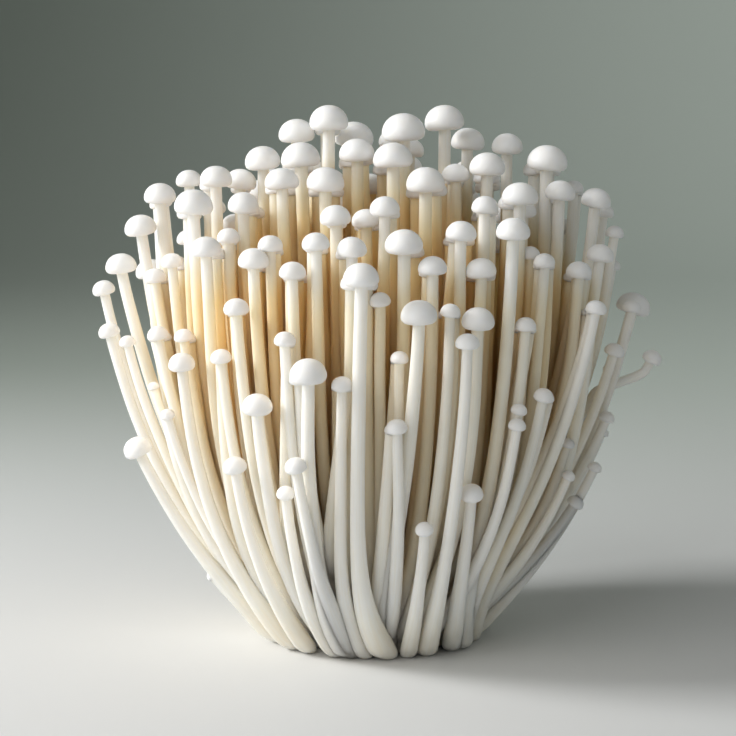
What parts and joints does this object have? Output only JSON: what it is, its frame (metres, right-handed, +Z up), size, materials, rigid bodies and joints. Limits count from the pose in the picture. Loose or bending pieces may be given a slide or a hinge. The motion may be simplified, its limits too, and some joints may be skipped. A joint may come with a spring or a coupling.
{
  "type": "enoki mushroom bunch",
  "caption": "Upright bunch of slender pale mushrooms with small domed caps, fanning out from one fused foot with a flat cut underside.",
  "frame": {"origin": "centre of the flat cut face under the foot, which rests on the surface", "axes": "+Z up along the bunch, -Y towards the side that the picture shows, +X to that view's right"},
  "size_m": [0.1313, 0.1134, 0.1239],
  "materials": {
    "mushroom_flesh": "smooth satin flesh, cool white on the caps and ivory on the stems, warmer and darker deep in the bunch"
  },
  "bodies": {
    "root": {"enoki_bunch": "mushroom_flesh"}
  },
  "joints": []
}
